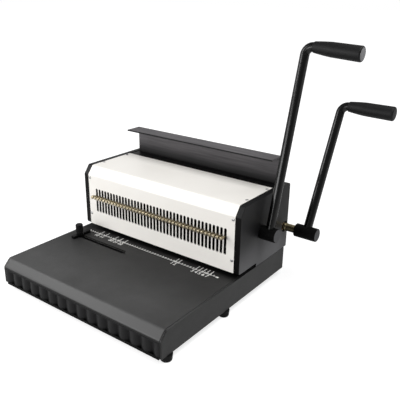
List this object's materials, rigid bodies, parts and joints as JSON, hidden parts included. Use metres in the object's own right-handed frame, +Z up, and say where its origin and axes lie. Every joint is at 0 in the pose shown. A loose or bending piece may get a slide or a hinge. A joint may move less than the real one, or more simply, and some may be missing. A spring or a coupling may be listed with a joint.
{
  "type": "binding machine",
  "caption": "Manual punch-and-bind machine: white punch head with a row of selector pins on a black paper table, a wire-closing plate behind it and two cranked hand levers.",
  "frame": {"origin": "bottom centre of the bounding box, on the plane the rubber feet stand on", "axes": "+X along the lever shafts to the operator's right, +Y to the back, +Z up"},
  "size_m": [0.5556, 0.5081, 0.471],
  "materials": {
    "black_paint": "satin black powder coat",
    "black_sheet": "satin black powder coat",
    "white_paint": "satin white enamel",
    "black_steel": "gloss black finish",
    "steel": "ground steel",
    "yellow_zinc": "yellow zinc plate",
    "bronze": "sintered bronze",
    "black_plastic": "moulded black plastic",
    "grip_rubber": "moulded black grip",
    "grey_plastic": "moulded grey plastic",
    "foot_rubber": "moulded black rubber"
  },
  "bodies": {
    "frame": {"base_top": "black_paint", "base_side_left": "black_paint", "base_side_right": "black_paint", "base_pan": "black_paint", "rubber_feet": "foot_rubber", "foot_screws": "steel", "drawer_rails": "steel", "end_plate_left": "black_sheet", "end_plate_right": "black_sheet", "bearing_plate_left": "steel", "bearing_plate_right": "steel", "shaft_bushes": "bronze", "front_cover": "white_paint", "cover_screws": "steel", "die_bar": "steel", "paper_stop": "steel", "punch_guide": "steel", "beam_guides": "steel", "frame_bolts": "black_steel", "rear_cover": "black_sheet", "closing_bed": "black_steel", "closing_guides": "steel", "punch_springs": "steel", "closing_springs": "steel"},
    "punch_lever": {"punch_shaft": "steel", "punch_pinions": "steel", "punch_hub": "black_steel", "punch_rod": "black_steel", "punch_grip": "grip_rubber", "punch_grip_cap": "grey_plastic"},
    "press": {"press_beam": "black_steel", "punches": "steel", "punch_racks": "steel", "pull_pins": "yellow_zinc"},
    "closing_lever": {"closing_shaft": "yellow_zinc", "closing_sectors": "steel", "closing_collar": "yellow_zinc", "closing_hub": "black_steel", "closing_rod": "black_steel", "closing_grip": "grip_rubber", "closing_grip_cap": "grey_plastic"},
    "closer": {"closing_plate": "black_sheet", "closing_racks": "steel"},
    "chip_drawer": {"drawer_tray": "black_plastic", "drawer_front": "black_plastic"},
    "edge_guide": {"guide_bar": "black_steel", "guide_stud": "steel"},
    "clamp_knob": {"guide_knob": "black_plastic"},
    "selector_left_1": {"pull_pin_left_1": "yellow_zinc"},
    "selector_left_2": {"pull_pin_left_2": "yellow_zinc"},
    "selector_left_3": {"pull_pin_left_3": "yellow_zinc"},
    "selector_right_1": {"pull_pin_right_1": "yellow_zinc"},
    "selector_right_2": {"pull_pin_right_2": "yellow_zinc"},
    "selector_right_3": {"pull_pin_right_3": "yellow_zinc"}
  },
  "joints": [
    {"name": "punch_lever_turn", "type": "hinge", "parent": "frame", "child": "punch_lever", "pos_m": [-0.07425, 0.03834, 0.129], "axis": [1, 0, 0], "range_deg": [0, 90]},
    {"name": "press_slide", "type": "slide", "parent": "frame", "child": "press", "axis": [0, 0, -1], "range_m": [0, 0.022], "stiffness_N_per_m": 2000, "springref_m": -0.02, "deforming": ["punch_springs"]},
    {"name": "closing_lever_turn", "type": "hinge", "parent": "frame", "child": "closing_lever", "pos_m": [-0.07425, 0.13034, 0.108], "axis": [1, 0, 0], "range_deg": [0, 100]},
    {"name": "closer_slide", "type": "slide", "parent": "frame", "child": "closer", "axis": [0, 0, -1], "range_m": [0, 0.0455], "stiffness_N_per_m": 700, "springref_m": -0.04, "deforming": ["closing_springs"]},
    {"name": "drawer_slide", "type": "slide", "parent": "frame", "child": "chip_drawer", "axis": [0, -1, 0], "range_m": [0, 0.2]},
    {"name": "guide_slide", "type": "slide", "parent": "frame", "child": "edge_guide", "axis": [1, 0, 0], "range_m": [0, 0.125]},
    {"name": "knob_turn", "type": "hinge", "parent": "edge_guide", "child": "clamp_knob", "pos_m": [-0.24056, -0.08766, 0.077], "axis": [0, 0, 1], "range_deg": [0, 180]},
    {"name": "pull_pin_left_1_slide", "type": "slide", "parent": "press", "child": "selector_left_1", "axis": [0, -1, 0], "range_m": [0, 0.008]},
    {"name": "pull_pin_left_2_slide", "type": "slide", "parent": "press", "child": "selector_left_2", "axis": [0, -1, 0], "range_m": [0, 0.008]},
    {"name": "pull_pin_left_3_slide", "type": "slide", "parent": "press", "child": "selector_left_3", "axis": [0, -1, 0], "range_m": [0, 0.008]},
    {"name": "pull_pin_right_1_slide", "type": "slide", "parent": "press", "child": "selector_right_1", "axis": [0, -1, 0], "range_m": [0, 0.008]},
    {"name": "pull_pin_right_2_slide", "type": "slide", "parent": "press", "child": "selector_right_2", "axis": [0, -1, 0], "range_m": [0, 0.008]},
    {"name": "pull_pin_right_3_slide", "type": "slide", "parent": "press", "child": "selector_right_3", "axis": [0, -1, 0], "range_m": [0, 0.008]}
  ],
  "couplings": [
    {"joint": "press_slide", "follows": "punch_lever_turn", "m_per_rad": 0.014},
    {"joint": "closer_slide", "follows": "closing_lever_turn", "m_per_rad": 0.026}
  ]
}
